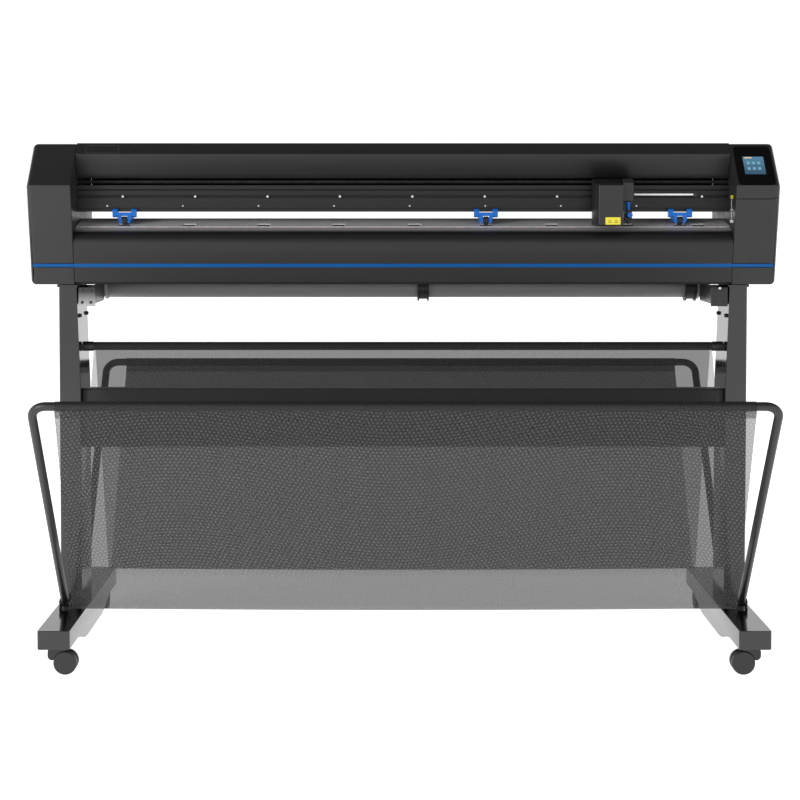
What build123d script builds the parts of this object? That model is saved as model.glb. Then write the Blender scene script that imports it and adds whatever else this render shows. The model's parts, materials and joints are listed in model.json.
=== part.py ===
"""Roll-fed vinyl cutter on a castered stand, with a two-pocket mesh basket.

Millimetres.  X runs along the machine (right-hand side positive), Y runs from the operator to the
back, Z is up.  The origin is on the floor, under the middle of the machine.
"""
from build123d import *
from math import acos, atan2, cos, hypot, pi, radians, sin
import os

# ---- driving dimensions -------------------------------------------------------------------------
HEAD_HALF = 825.0            # half length of the cutting head
COVER_IN = 728.0             # where the end covers start
WALL = 3.0                   # moulded cover wall
SHEET = 2.5                  # folded steel
SEAM = 0.4                   # visible gap between two covers
HEAD_BOTTOM = 806.0
HEAD_TOP = 1120.0
HEAD_BACK = 195.0
NOSE_Y, NOSE_Z = -105.0, 1025.0
SLOPE_TOP_Y, SLOPE_TOP_Z = -14.0, 1118.0
CHIN_Y, CHIN_Z = -53.0, 811.0
SPLIT_Z = 996.0              # seam between control panel and right end cover
STRIPE_BOTTOM, STRIPE_TOP, STRIPE_T = 844.7, 852.5, 1.2
INLET_X, INLET_Z = (601.5, 630.5), (845.5, 868.5)    # opening for the mains inlet in the rear cover

LEG_OUT, LEG_IN, LEG_IN_TOP = 765.0, 717.0, 725.0
LEG_FRONT, LEG_BACK = -47.0, 90.0
LEG_TOP, LEG_KINK = 800.0, 577.0
LEG_HOLE_Z, LEG_HOLE_Y, LEG_HOLE_PITCH, LEG_HOLE_R = 735.5, 23.5, 95.0, 4.75

FOOT_IN, FOOT_OUT, FOOT_HALF = 696.0, 764.0, 340.0
FOOT_TOP, FOOT_END_BOTTOM, FOOT_MID_BOTTOM = 98.0, 58.0, 34.0

HOOP_X, HOOP_R = 741.0, 9.0
HOOP_BAR_Y, HOOP_BAR_Z = 509.0, 585.0
HOOP_PIVOT_Y, HOOP_PIVOT_Z, HOOP_PIN_R = 127.0, 112.0, 3.0
HOOP_BEND = 30.0
CLOTH_HALF, CLOTH_T = 693.0, 1.2
CLOTH_BAR_Z, CLOTH_BAR_R = 665.0, 9.0
CLOTH_GAP = 0.6              # air between a bar and the sleeve sewn round it
FRONT_FOLD, REAR_FOLD = (-303.0, 98.0), (-203.0, 80.0)    # as distances in front of the middle
FOLD_R = 30.0
CLOTH_SEAM_ANGLE = radians(96)    # where a cloth starts on top of the cloth bar

CASTER_X, CASTER_Y, CASTER_TRAIL = 730.0, 300.0, 20.0
CASTER_AXLE_Z, CASTER_WHEEL_R, CASTER_AXLE_R = 24.5, 24.5, 3.0
STEM_R = 5.0
RUN_FIT = 0.06               # radial clearance of a pin or shaft in its bore

RAIL_FRONT, RAIL_BACK, RAIL_BOTTOM, RAIL_TOP = -10.0, 60.0, 967.0, 1026.0
DRUM_Y, DRUM_R, DRUM_SHAFT_R = -16.0, 11.0, 5.0
DRUM_Z = 927.2
DRUM_WIDTH, DRUM_WINDOW = 26.0, 29.0
DRUM_XS = (-621.0, -478.0, -311.0, -143.0, 26.0, 185.0, 332.0, 500.0, 618.0, 658.0)
PLATEN_TOP = ((-50.0, 925.5), (-34.0, 934.1), (-16.0, 937.6), (62.0, 951.6), (70.0, 949.0))
PLATEN_T = 5.0
PINCH_XS = {"left": -621.0, "middle": 185.0, "right": 618.0}
PINCH_WHEEL_R, PINCH_WHEEL_HALF = 9.0, 5.2
PINCH_WHEEL_Z = DRUM_Z + DRUM_R + PINCH_WHEEL_R + 0.3
PINCH_PIVOT_Y, PINCH_PIVOT_Z = 12.0, 951.0
PINCH_HALF, PINCH_CHEEK = 26.5, 15.5

CARRIAGE_X = 465.0
CARRIAGE_HALF = 43.0
TOOL_X, TOOL_Y = 500.0, -34.0
KNOB_X = 501.0               # clamp screw, a little right of the knife
BELT_Y0, BELT_Y1, BELT_Z0, BELT_Z1 = 6.0, 30.0, 1031.0, 1037.0
PULLEY_X = 747.0
BELT_T = 1.2

ROLLER_R, ROLLER_Z = 23.0, 786.2
ROLLER_YS = (235.0, 335.0)
ROLLER_HALF = 700.0
BRACKET_X = 703.0
LIFT_Y, LIFT_Z, LIFT_R = 78.0, 985.0, 5.0


# ---- shared shapes ------------------------------------------------------------------------------
def block(x0, x1, y0, y1, z0, z1):
    """Axis-aligned block between two corners."""
    return Pos((x0 + x1) / 2, (y0 + y1) / 2, (z0 + z1) / 2) * Box(x1 - x0, y1 - y0, z1 - z0)


def rod_x(x0, x1, y, z, r):
    return Pos((x0 + x1) / 2, y, z) * Rot(0, 90, 0) * Cylinder(r, x1 - x0)


def rod_y(x, y0, y1, z, r):
    return Pos(x, (y0 + y1) / 2, z) * Rot(90, 0, 0) * Cylinder(r, y1 - y0)


def rod_z(x, y, z0, z1, r):
    return Pos(x, y, (z0 + z1) / 2) * Cylinder(r, z1 - z0)


def run_x(sketch, x0, x1):
    """A (Y, Z) outline drawn out along X."""
    return extrude(Plane.YZ.offset(x0) * sketch, x1 - x0, dir=(1, 0, 0))


def run_y(sketch, y0, y1):
    """An (X, Z) outline drawn out along Y."""
    return extrude(Plane.XZ.offset(-y0) * sketch, y1 - y0, dir=(0, 1, 0))


def outline(points, r=0.0):
    """Closed outline, every corner rounded by r."""
    face = Polygon(*points, align=None)
    return fillet(face.vertices(), r) if r else face


def strip(points, t):
    """Closed outline of a bent sheet: the points are its outside, t is its thickness to the right."""
    inner = []
    for i, (y, z) in enumerate(points):
        before = points[i - 1] if i else None
        after = points[i + 1] if i + 1 < len(points) else None
        sides = []
        for a, b in ((before, (y, z)), ((y, z), after)):
            if a is None or b is None:
                continue
            length = hypot(b[0] - a[0], b[1] - a[1])
            sides.append(((b[1] - a[1]) / length, -(b[0] - a[0]) / length))
        ny = sum(s[0] for s in sides) / len(sides)
        nz = sum(s[1] for s in sides) / len(sides)
        scale = t / (ny * ny + nz * nz)
        inner.append((y + ny * scale, z + nz * scale))
    return Polygon(*points, *reversed(inner), align=None)


def both_sides(shape):
    """The right-hand piece and its mirror image."""
    return [shape, mirror(shape, about=Plane.YZ)]


def save(name, *solids):
    parts = []
    for solid in solids:
        parts.extend(solid.solids())
    body = parts[0] if len(parts) == 1 else Compound(children=parts)
    body.label = name
    export_step(body, f"parts/{name}.step")


# ---- head covers --------------------------------------------------------------------------------
def end_outline(inset):
    points = [(NOSE_Y, NOSE_Z), (SLOPE_TOP_Y, SLOPE_TOP_Z), (150, SLOPE_TOP_Z), (HEAD_BACK, 1080),
              (HEAD_BACK, HEAD_BOTTOM), (CHIN_Y, HEAD_BOTTOM)]
    face = Polygon(*points, align=None)
    return offset(face, -inset, kind=Kind.INTERSECTION) if inset else face


def end_block(inset):
    """Right-hand end cover as a full block, its outer edges rounded; the inset one is the hollow."""
    mouth = COVER_IN - 10 if inset else COVER_IN
    body = run_x(end_outline(inset), mouth, HEAD_HALF - inset)
    outer = body.faces().sort_by(Axis.X)[-1]
    return fillet(outer.edges(), 12.0 - inset)


def end_stripe(outer):
    """Blue inlay across the leaning front face of an end cover."""
    lean = (CHIN_Y - NOSE_Y) / (NOSE_Z - HEAD_BOTTOM)
    high = NOSE_Y + lean * (NOSE_Z - STRIPE_TOP)
    low = NOSE_Y + lean * (NOSE_Z - STRIPE_BOTTOM)
    face = Polygon((high - 5, STRIPE_TOP), (high + STRIPE_T, STRIPE_TOP), (low + STRIPE_T, STRIPE_BOTTOM),
                   (low - 5, STRIPE_BOTTOM), align=None)
    return outer & run_x(face, COVER_IN, HEAD_HALF)


def seam_region(drop):
    """Everything below the seam between control panel and right end cover, lowered by drop."""
    z = SPLIT_Z - drop
    path = Line((700, z), (796, z)) + Spline((796, z), (840, z + 18), tangents=[(1, 0), (1, 1.2)])
    edge = path + Polyline((840, z + 18), (840, 780), (700, 780), (700, z))
    return run_y(make_face(edge), -130, 220)


def display_plane():
    length = hypot(SLOPE_TOP_Y - NOSE_Y, SLOPE_TOP_Z - NOSE_Z)
    rise = (SLOPE_TOP_Z - NOSE_Z) / length
    go = (SLOPE_TOP_Y - NOSE_Y) / length
    return Plane(origin=(774.25, NOSE_Y, NOSE_Z), x_dir=(1, 0, 0), z_dir=(0, -rise, go))


def display_block(width, y0, y1, z0, z1, corner):
    """Slab on the control panel's slope; y runs up the slope, z out of it."""
    face = Pos(0, (y0 + y1) / 2) * RectangleRounded(width, y1 - y0, corner)
    return extrude(display_plane().offset(z0) * face, z1 - z0)


def build_covers():
    outer = end_block(0.0)
    stripe = end_stripe(outer)
    shell = outer - end_block(WALL) - stripe
    left = mirror(shell, about=Plane.YZ)
    lower = shell & seam_region(SEAM)
    upper = shell - seam_region(0.0)
    glass = display_block(79.5, 2, 122, -2.0, 0.6, 9.0)
    screen = display_block(46, 34, 89, -0.2, 0.6, 1.0)
    save("left_end_cover", left)
    save("right_end_cover", lower)
    save("control_panel_cover", upper - display_block(79.9, 1.8, 122.2, -2.0, 9, 9.2))
    save("display_glass", glass - screen)
    save("display_screen", screen)
    return stripe


def build_top_cover():
    """Hood over the rail: visor with a turned-in lip, top and back, open underneath."""
    points = [(-10, 1041.2), (-20, 1051), (-36, 1095), (-12, HEAD_TOP), (150, HEAD_TOP), (HEAD_BACK, 1082),
              (HEAD_BACK, 968)]
    half = COVER_IN - SEAM
    save("top_cover", run_x(strip(points, WALL), -half, half))


def front_points():
    """Outside of the front cover in section, from the chin up to the platen."""
    return [(-44, CHIN_Z), (CHIN_Y, CHIN_Z), (-69.5, 876), (-73.2, 895), (-72, 907), (-64, 917.5),
            (-51.4, 922.5)]


def build_front_cover(end_piece):
    """Front cover with the blue stripe let into it and into both end covers."""
    half = COVER_IN - SEAM
    cover = run_x(strip(front_points(), SHEET), -half, half)
    groove = run_x(strip(front_points(), STRIPE_T), -half, half)
    groove &= block(-half, half, -120, -50, STRIPE_BOTTOM, STRIPE_TOP)
    save("front_cover", cover - groove)
    save("accent_stripe", groove, *both_sides(end_piece))


def build_rear_cover():
    """Rear cover in panels: paper ramp and back wall, with the mains inlet in a narrow middle column."""
    half = COVER_IN - SEAM
    points = [(73, 948), (186, 938), (HEAD_BACK, 930), (HEAD_BACK, HEAD_BOTTOM)]
    section = strip(points, SHEET)
    left, right = INLET_X[0] - SEAM, INLET_X[1] + SEAM
    main = run_x(section, -half, left)
    for x in (480, 520):
        main -= block(x - 8.3, x + 8.3, 190, 200, 845.7, 860.3)   # data sockets
    end = run_x(section, right, half)
    end -= block(641.5, 656.5, 190, 200, *INLET_Z)                # power switch
    column = run_x(section, *INLET_X)
    above = column & block(left, right, 0, 200, INLET_Z[1], 1000)
    below = column & block(left, right, 0, 200, 800, INLET_Z[0])
    save("rear_cover", main, above, below, end)


# ---- chassis, platen and rail -------------------------------------------------------------------
def build_chassis():
    """Bottom pan with turned-up edges, and upright ribs that carry the platen."""
    half = COVER_IN - SEAM
    pan = block(-half, half, -42, 191, HEAD_BOTTOM, HEAD_BOTTOM + SHEET)
    pan += block(-half, half, -42, -42 + SHEET, HEAD_BOTTOM, HEAD_BOTTOM + 26)
    pan += block(-half, half, 191 - SHEET, 191, HEAD_BOTTOM, HEAD_BOTTOM + 26)
    under = [(y, z - PLATEN_T - 0.1) for y, z in PLATEN_TOP[1:4]]
    rib = Polygon((-34, HEAD_BOTTOM + 1), *under, (62, HEAD_BOTTOM + 1), align=None)
    for x in (-700, -550, -395, -230, -60, 110, 260, 415, 560, 700):
        pan += run_x(rib, x - 1.5, x + 1.5)
    pan -= rod_x(-COVER_IN, COVER_IN, DRUM_Y, DRUM_Z, DRUM_SHAFT_R + 2)
    save("chassis", pan)


def build_side_plates():
    """Steel plate inside the mouth of each end cover; holes for drum shaft, belt and lift shaft."""
    plate = run_x(end_outline(WALL + 0.3), COVER_IN + 0.3, COVER_IN + 0.3 + WALL)
    x0, x1 = COVER_IN - 2, COVER_IN + 8
    plate -= rod_x(x0, x1, DRUM_Y, DRUM_Z, DRUM_SHAFT_R + RUN_FIT)
    plate -= rod_x(x0, x1, LIFT_Y, LIFT_Z, LIFT_R + RUN_FIT)
    plate -= block(x0, x1, BELT_Y0 - 6, BELT_Y1 + 6, BELT_Z0 - 4, BELT_Z1 + 4)
    save("side_plates", *both_sides(plate))


def build_platen():
    """Sloping aluminium platen with a window over each drum and a groove for the cutting strip."""
    under = [(y, z - PLATEN_T) for y, z in reversed(PLATEN_TOP)]
    half = COVER_IN - SEAM
    platen = run_x(Polygon(*PLATEN_TOP, *under, align=None), -half, half)
    for x in DRUM_XS:
        platen -= block(x - DRUM_WINDOW / 2, x + DRUM_WINDOW / 2, -29, -3, 900, 970)
    groove = Polygon((-37.5, 932.22), (-34, 934.1), (-31, 934.68), (-31, 933.4), (-34, 932.8),
                     (-37.5, 931), align=None)
    save("platen", platen - run_x(groove, -half, half))
    save("cutting_strip", run_x(groove, -720, 720))


def build_rail():
    """Ribbed aluminium extrusion that the carriage runs on, and its screws."""
    grooves = ((973.0, 975.5, 4), (997.5, 1004.5, 12), (1013.5, 1018, 10))    # from, to, depth
    front = [(RAIL_FRONT, RAIL_BOTTOM)]
    for low, high, deep in grooves:
        front += [(RAIL_FRONT, low), (RAIL_FRONT + deep, low), (RAIL_FRONT + deep, high),
                  (RAIL_FRONT, high)]
    front.append((RAIL_FRONT, RAIL_TOP))
    rail = Polygon(*front, (RAIL_BACK, RAIL_TOP), (RAIL_BACK, RAIL_BOTTOM), align=None)
    hollow = Polygon((6, 972), (6, 1021), (RAIL_BACK - 4, 1021), (RAIL_BACK - 4, 972), align=None)
    save("carriage_rail", run_x(rail - hollow, -COVER_IN, COVER_IN))
    heads = [rod_y(-627 + 162 * i, -6.2, 2.0, 1001, 2.6) for i in range(9)]
    heads += [rod_y(-661 + 169 * i, -11.0, RAIL_FRONT, 980, 1.7) for i in range(8)]
    save("rail_screws", *heads)
    ribbon = block(517, 651, -11.2, -10.3, 1003.6, 1007.4)
    save("ribbon_cable", ribbon + block(649, 657, -13.5, -10.1, 1000.5, 1008.5))


# ---- media drive --------------------------------------------------------------------------------
def build_drum():
    """Drive shaft with a grit roller under every platen window."""
    shaft = rod_x(-745, 738, DRUM_Y, DRUM_Z, DRUM_SHAFT_R)
    rings = []
    for x in DRUM_XS:
        ring = rod_x(x - DRUM_WIDTH / 2, x + DRUM_WIDTH / 2, DRUM_Y, DRUM_Z, DRUM_R)
        rings.append(ring - rod_x(x - 20, x + 20, DRUM_Y, DRUM_Z, DRUM_SHAFT_R + 0.01))
    save("drive_drum", shaft, *rings)


def build_motors():
    """Drum motor in the left end, carriage motor in the right end."""
    y, z = DRUM_Y, DRUM_Z
    drum = block(-802, -746, y - 28, y + 28, z - 28, z + 28)
    drum = fillet(drum.edges().filter_by(Axis.X), 5)
    belt_y = (BELT_Y0 + BELT_Y1) / 2
    top = block(PULLEY_X - 13, PULLEY_X + 43, belt_y - 28, belt_y + 28, 960, 1016)
    top = fillet(top.edges().filter_by(Axis.Z), 5)
    top += rod_z(PULLEY_X, belt_y, 1015, 1019, 11)
    top += rod_z(PULLEY_X, belt_y, 1018, 1038, 2.5)
    save("drive_motors", drum, top)


def build_belt_drive():
    """Toothed belt loop above the rail, running round a pulley in each end cover."""
    mid = (BELT_Y0 + BELT_Y1) / 2
    r_out = (BELT_Y1 - BELT_Y0) / 2
    loop = SlotCenterToCenter(2 * PULLEY_X, 2 * r_out)
    loop -= SlotCenterToCenter(2 * PULLEY_X, 2 * (r_out - BELT_T))
    save("carriage_belt", extrude(Pos(0, mid, BELT_Z0) * loop, BELT_Z1 - BELT_Z0))
    r_pulley = r_out - BELT_T - 0.3
    for name, x in (("belt_drive_pulley", PULLEY_X), ("belt_idler_pulley", -PULLEY_X)):
        wheel = rod_z(x, mid, BELT_Z0 - 0.4, BELT_Z1 + 0.4, r_pulley)
        wheel += rod_z(x, mid, BELT_Z0 - 1.6, BELT_Z0 - 0.4, r_out + 0.8)
        wheel += rod_z(x, mid, BELT_Z1 + 0.4, BELT_Z1 + 1.6, r_out + 0.8)
        save(name, wheel - rod_z(x, mid, 1020, 1050, 2.5 + RUN_FIT))


# ---- carriage -----------------------------------------------------------------------------------
def build_carriage():
    left, right = CARRIAGE_X - CARRIAGE_HALF - 2, CARRIAGE_X + CARRIAGE_HALF - 1
    frame = block(left + 6, right, -27.5, -12, 980, 1040)
    frame += block(left + 14, right - 8, -13, -6.6, 1014.1, 1017.4)      # guide pad in the rail groove
    frame += block(left + 20, right - 20, -27.5, 5.5, 1029.5, 1040)      # belt arm over the rail
    housing = block(left + 63.6, right, -74, -27, 991, 1040)            # tool lift housing
    housing = chamfer(housing.edges().group_by(Axis.Z)[-1].filter_by(Axis.X).sort_by(Axis.Y)[0], 9)
    save("carriage_frame", frame + housing)
    side = [(-28, 938), (-90, 938), (-90, 1026), (-34, 1040), (-28, 1040)]
    cover = run_x(Polygon(*side, align=None), left, left + 63)
    cut = Polygon((left - 1, -92), (left + 10.5, -92), (left - 1, -71), align=None)
    cover -= extrude(Pos(0, 0, 930) * cut, 120)
    lining = [(-20, 941), (-87.5, 941), (-87.5, 1023.8), (-33.5, 1037.3), (-20, 1037.3)]
    cover -= run_x(Polygon(*lining, align=None), left + 12, left + 61)
    cover -= block(left + 2.5, left + 13, -70, -20, 941, 1028)
    save("carriage_cover", cover)


def build_tool():
    """Tool slide, drag-knife holder and clamp screw, all lifted together."""
    slide = block(TOOL_X - 10.5, TOOL_X + 7, -50, -27.6, 950, 968)
    slide += block(TOOL_X - 10.5, TOOL_X - 7, -48, -27.6, 966, 989)
    slide += rod_z(TOOL_X - 8, -53, 946, 964, 2.4) + block(TOOL_X - 10.4, TOOL_X - 5.6, -53, -49, 955, 960)
    slide -= rod_z(TOOL_X, TOOL_Y, 940, 1000, 5.06)
    slide -= rod_y(KNOB_X, -60, -38, 960, 1.56)
    save("tool_holder", slide)
    knife = rod_z(TOOL_X, TOOL_Y, 944.5, 971, 5.0) + Pos(TOOL_X, TOOL_Y, 979.5) * Cone(3.6, 6.2, 17.0)
    knife += Pos(TOOL_X, TOOL_Y, 943) * Cone(2.2, 5.0, 3.0) + rod_z(TOOL_X, TOOL_Y, 938.2, 942, 0.8)
    save("knife", knife)
    knob = rod_y(KNOB_X, -63, -54, 960, 6.0)
    for i in range(8):
        a = 2 * pi * i / 8
        knob -= rod_y(KNOB_X + 6.6 * cos(a), -64, -56, 960 + 6.6 * sin(a), 1.1)
    knob += rod_y(KNOB_X, -54.5, -39.5, 960, 1.5)
    save("clamp_knob", knob)


# ---- pinch rollers ------------------------------------------------------------------------------
def build_pinch(side, x):
    """One pinch roller: slider hung under the rail, lifting arm, rubber wheel."""
    slider = block(x - PINCH_CHEEK, x + PINCH_CHEEK, -25, 22, 960.2, 965.5)
    apron = Polygon((x - 16, 963.5), (x + 16, 963.5), (x + 16, 957), (x + 13.5, 949.5), (x + 6.8, 949.5),
                    (x + 6.8, 957.5), (x - 6.8, 957.5), (x - 6.8, 949.5), (x - 13.5, 949.5),
                    (x - 16, 957), align=None)
    slider += run_y(apron, -25, -23)
    for s in (-1, 1):
        a, b = sorted((x + s * (PINCH_CHEEK - 0.5), x + s * PINCH_HALF))
        knob = block(a, b, -25, -11, 954.5, 974)
        knob = fillet(knob.edges().filter_by(Axis.X), 5.5)
        slider += knob
        a, b = sorted((x + s * 11, x + s * PINCH_CHEEK))
        slider += block(a, b, 4, 22, 945.5, 961)
    slider -= rod_x(x - 30, x + 30, PINCH_PIVOT_Y, PINCH_PIVOT_Z, 2.0 + RUN_FIT)
    save(f"{side}_pinch_slider", slider)
    arm = rod_x(x - PINCH_CHEEK, x + PINCH_CHEEK, PINCH_PIVOT_Y, PINCH_PIVOT_Z, 2.0)
    for s in (-1, 1):
        a, b = sorted((x + s * 5.9, x + s * 10.4))
        cheek = Polygon((PINCH_PIVOT_Y + 4.2, 947.5), (PINCH_PIVOT_Y + 4.2, 954.8), (-21.2, 954.8),
                        (-21.2, 941.5), (-9, 941.5), align=None)
        arm += run_x(fillet(cheek.vertices(), 1.5), a, b)
        wing = Polygon((x + s * 5.9, 941.5), (x + s * 10.5, 941.5), (x + s * 14.8, 948.5),
                       (x + s * 14.8, 954.8), (x + s * 5.9, 954.8), align=None)
        arm += run_y(wing, -21.2, -2)
    arm += block(x - 6.2, x + 6.2, -2, 9, 950, 954.8)
    arm -= rod_x(x - 12, x + 12, DRUM_Y, PINCH_WHEEL_Z, 1.5 + RUN_FIT)
    save(f"{side}_pinch_arm", arm)
    wheel = rod_x(x - PINCH_WHEEL_HALF, x + PINCH_WHEEL_HALF, DRUM_Y, PINCH_WHEEL_Z, PINCH_WHEEL_R)
    rim = wheel.faces().filter_by(GeomType.CYLINDER).edges()
    wheel = fillet(rim, 1.0) + rod_x(x - 10, x + 10, DRUM_Y, PINCH_WHEEL_Z, 1.5)
    save(f"{side}_pinch_wheel", wheel)


def build_lift():
    """Shaft behind the rail with a hand lever at its right end; it raises the pinch arms."""
    shaft = rod_x(-736, 735, LIFT_Y, LIFT_Z, LIFT_R)
    for x in PINCH_XS.values():
        shaft += rod_x(x - 14, x + 14, LIFT_Y, LIFT_Z, 8.0)
    lever = block(700, 712, LIFT_Y - 8, LIFT_Y + 8, LIFT_Z - 8, LIFT_Z + 8)
    lever += block(702, 710, LIFT_Y, 186, LIFT_Z - 4, LIFT_Z + 4)
    grip = rod_x(694, 718, 184, LIFT_Z, 6.5)
    save("pinch_lift_lever", shaft + lever + grip)


# ---- electronics --------------------------------------------------------------------------------
def build_electronics():
    board = block(300, 540, 78, 186, 838, 840)
    for x, y in ((330, 100), (330, 160), (510, 100), (430, 130)):
        board += block(x - 12, x + 12, y - 12, y + 12, 839, 848)
    for x in (480, 520):
        board += block(x - 8, x + 8, 172, HEAD_BACK + 0.4, 846, 860)
        board += block(x - 7, x + 7, 173, 184, 839, 847)
    save("main_board", board)
    supply = block(570, 690, 80, 178, 815, 870)
    inlet = block(602, 630, 176, HEAD_BACK + 0.6, 846, 868)
    socket = block(606, 626, HEAD_BACK - 12, HEAD_BACK + 2, 850.5, 863.5)
    for x in (610, 616, 622):
        socket -= block(x - 1, x + 1, HEAD_BACK - 13, HEAD_BACK - 1, 852, 856)
    save("power_supply", supply + inlet - socket)
    rocker = block(643, 655, HEAD_BACK - 6, HEAD_BACK + 1.5, 848, 866)
    rocker = fillet(rocker.edges().filter_by(Axis.X), 1.5)
    save("power_switch", rocker)


# ---- stand --------------------------------------------------------------------------------------
def build_legs():
    """Box-section legs with a top flange under the head and two accessory holes inside."""
    shape = [(LEG_IN, FOOT_TOP), (LEG_OUT, FOOT_TOP), (LEG_OUT, LEG_TOP), (LEG_IN_TOP, LEG_TOP),
             (LEG_IN, LEG_KINK)]
    leg = run_y(Polygon(*shape, align=None), LEG_FRONT, LEG_BACK)
    leg = fillet(leg.edges().filter_by(Axis.Z).group_by(Axis.X)[-1], 6)
    inside = [(LEG_IN + SHEET, FOOT_TOP - 1), (LEG_OUT - SHEET, FOOT_TOP - 1),
              (LEG_OUT - SHEET, LEG_TOP + 1), (LEG_IN_TOP + SHEET, LEG_TOP + 1), (LEG_IN + SHEET, LEG_KINK)]
    leg -= run_y(Polygon(*inside, align=None), LEG_FRONT + SHEET, LEG_BACK - SHEET)
    leg += block(722, 768, LEG_FRONT - 3, LEG_BACK + 3, LEG_TOP, HEAD_BOTTOM - 0.3)
    for s in (-1, 1):
        y = LEG_HOLE_Y + s * LEG_HOLE_PITCH / 2
        leg -= rod_x(LEG_IN - 5, LEG_IN + 20, y, LEG_HOLE_Z, LEG_HOLE_R)
    save("legs", *both_sides(leg))


def build_feet():
    """Open-bottomed feet with caster bosses and a pivot fork for each basket hoop."""
    edge = Polyline((-245, FOOT_END_BOTTOM), (-FOOT_HALF, FOOT_END_BOTTOM), (-FOOT_HALF, FOOT_TOP),
                    (FOOT_HALF, FOOT_TOP), (FOOT_HALF, FOOT_END_BOTTOM), (245, FOOT_END_BOTTOM))
    edge += Spline((245, FOOT_END_BOTTOM), (100, FOOT_MID_BOTTOM), tangents=[(-1, 0), (-1, 0)])
    edge += Line((100, FOOT_MID_BOTTOM), (-100, FOOT_MID_BOTTOM))
    edge += Spline((-100, FOOT_MID_BOTTOM), (-245, FOOT_END_BOTTOM), tangents=[(-1, 0), (-1, 0)])
    foot = run_x(make_face(edge), FOOT_IN, FOOT_OUT)
    foot = fillet(foot.edges().filter_by(Axis.Z), 6)
    foot -= block(FOOT_IN + WALL, FOOT_OUT - WALL, -FOOT_HALF + 5, FOOT_HALF - 5, 0, FOOT_TOP - WALL)
    for s in (-1, 1):
        foot += rod_z(CASTER_X, s * CASTER_Y, FOOT_END_BOTTOM + 1, FOOT_TOP - 1, 16)
        foot -= rod_z(CASTER_X, s * CASTER_Y, FOOT_END_BOTTOM, FOOT_TOP - 6, STEM_R + RUN_FIT)
        y = s * HOOP_PIVOT_Y
        for x in (HOOP_X - 10.8, HOOP_X + 10.8):
            foot += block(x - 1.5, x + 1.5, y - 9, y + 9, FOOT_TOP - 1, HOOP_PIVOT_Z)
            foot += rod_x(x - 1.5, x + 1.5, y, HOOP_PIVOT_Z, 9)
        foot += rod_x(HOOP_X - 14, HOOP_X + 14, y, HOOP_PIVOT_Z, HOOP_PIN_R)
    save("feet", *both_sides(foot))


def build_crossbars():
    beam = block(-LEG_IN + 0.1, LEG_IN - 0.1, -25, 15, 440, 572)
    beam = fillet(beam.edges().filter_by(Axis.X), 5)
    beam -= block(-LEG_IN, LEG_IN, -25 + SHEET, 15 - SHEET, 440 + SHEET, 572 - SHEET)
    save("crossbeam", beam)
    inner = LEG_IN_TOP - 6.2
    bar = rod_x(-inner, inner, 0, CLOTH_BAR_Z, CLOTH_BAR_R)
    bar -= rod_x(-inner, inner, 0, CLOTH_BAR_Z, CLOTH_BAR_R - 2)
    for s in (-1, 1):
        a, b = sorted((s * (inner - 24), s * inner))
        bar += rod_x(a, b, 0, CLOTH_BAR_Z, 10.8)
    save("cloth_bar", bar)


def hoop_path(s):
    x, py, pz = HOOP_X, s * HOOP_PIVOT_Y, HOOP_PIVOT_Z
    by, bz = s * HOOP_BAR_Y, HOOP_BAR_Z
    length = hypot(by - py, bz - pz)
    uy, uz = (by - py) / length, (bz - pz) / length
    start = (py + 13 * uy, pz + 13 * uz)
    return FilletPolyline((-x, *start), (-x, by, bz), (x, by, bz), (x, *start), radius=HOOP_BEND), (uy, uz)


def build_hoops():
    """Tubular hoops; a forked foot pin passes through the eye plugged into each tube end."""
    for name, s in (("front_hoop", -1), ("rear_hoop", 1)):
        path, (uy, uz) = hoop_path(s)
        ring = Circle(HOOP_R) - Circle(HOOP_R - 1.5)
        tube = sweep(Plane(origin=path @ 0, z_dir=path % 0) * ring, path=path)
        eyes = []
        for side in (-1, 1):
            x = side * HOOP_X
            eye = rod_x(x - 9, x + 9, s * HOOP_PIVOT_Y, HOOP_PIVOT_Z, 9)
            base = Plane(origin=(x, s * HOOP_PIVOT_Y, HOOP_PIVOT_Z), z_dir=(0, uy, uz))
            eye += extrude(base * Circle(HOOP_R), 12.9)
            eye += extrude(base * Circle(HOOP_R - 1.6), 30)
            eye -= rod_x(x - 12, x + 12, s * HOOP_PIVOT_Y, HOOP_PIVOT_Z, HOOP_PIN_R + RUN_FIT)
            eyes.append(eye)
        save(name, tube, *eyes)


def tangent_point(centre, outside, r):
    """Where a line from the outside point touches the circle, on its clockwise side."""
    dy, dz = outside[0] - centre[0], outside[1] - centre[1]
    angle = atan2(dz, dy) - acos(r / hypot(dy, dz))
    return centre[0] + r * cos(angle), centre[1] + r * sin(angle)


def cloth_profile(fold):
    """Front cloth in section: over the cloth bar, down to the fold, up to the sleeve on the hoop."""
    r = CLOTH_BAR_R + CLOTH_GAP + CLOTH_T / 2
    bar, hoop = (0, CLOTH_BAR_Z), (-HOOP_BAR_Y, HOOP_BAR_Z)
    leave, reach = tangent_point(bar, fold, r), tangent_point(hoop, fold, r)
    middle = CLOTH_SEAM_ANGLE + (atan2(leave[1] - bar[1], leave[0] - bar[0]) - CLOTH_SEAM_ANGLE) / 2
    over = ThreePointArc((r * cos(CLOTH_SEAM_ANGLE), CLOTH_BAR_Z + r * sin(CLOTH_SEAM_ANGLE)),
                         (r * cos(middle), CLOTH_BAR_Z + r * sin(middle)), leave)
    path = Wire((over + FilletPolyline(leave, fold, reach, radius=FOLD_R)).edges())
    band = make_face(offset(path, CLOTH_T / 2, side=Side.BOTH))
    sleeve = Pos(*hoop) * (Circle(r + CLOTH_T / 2) - Circle(r - CLOTH_T / 2))
    return band + sleeve


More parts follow.
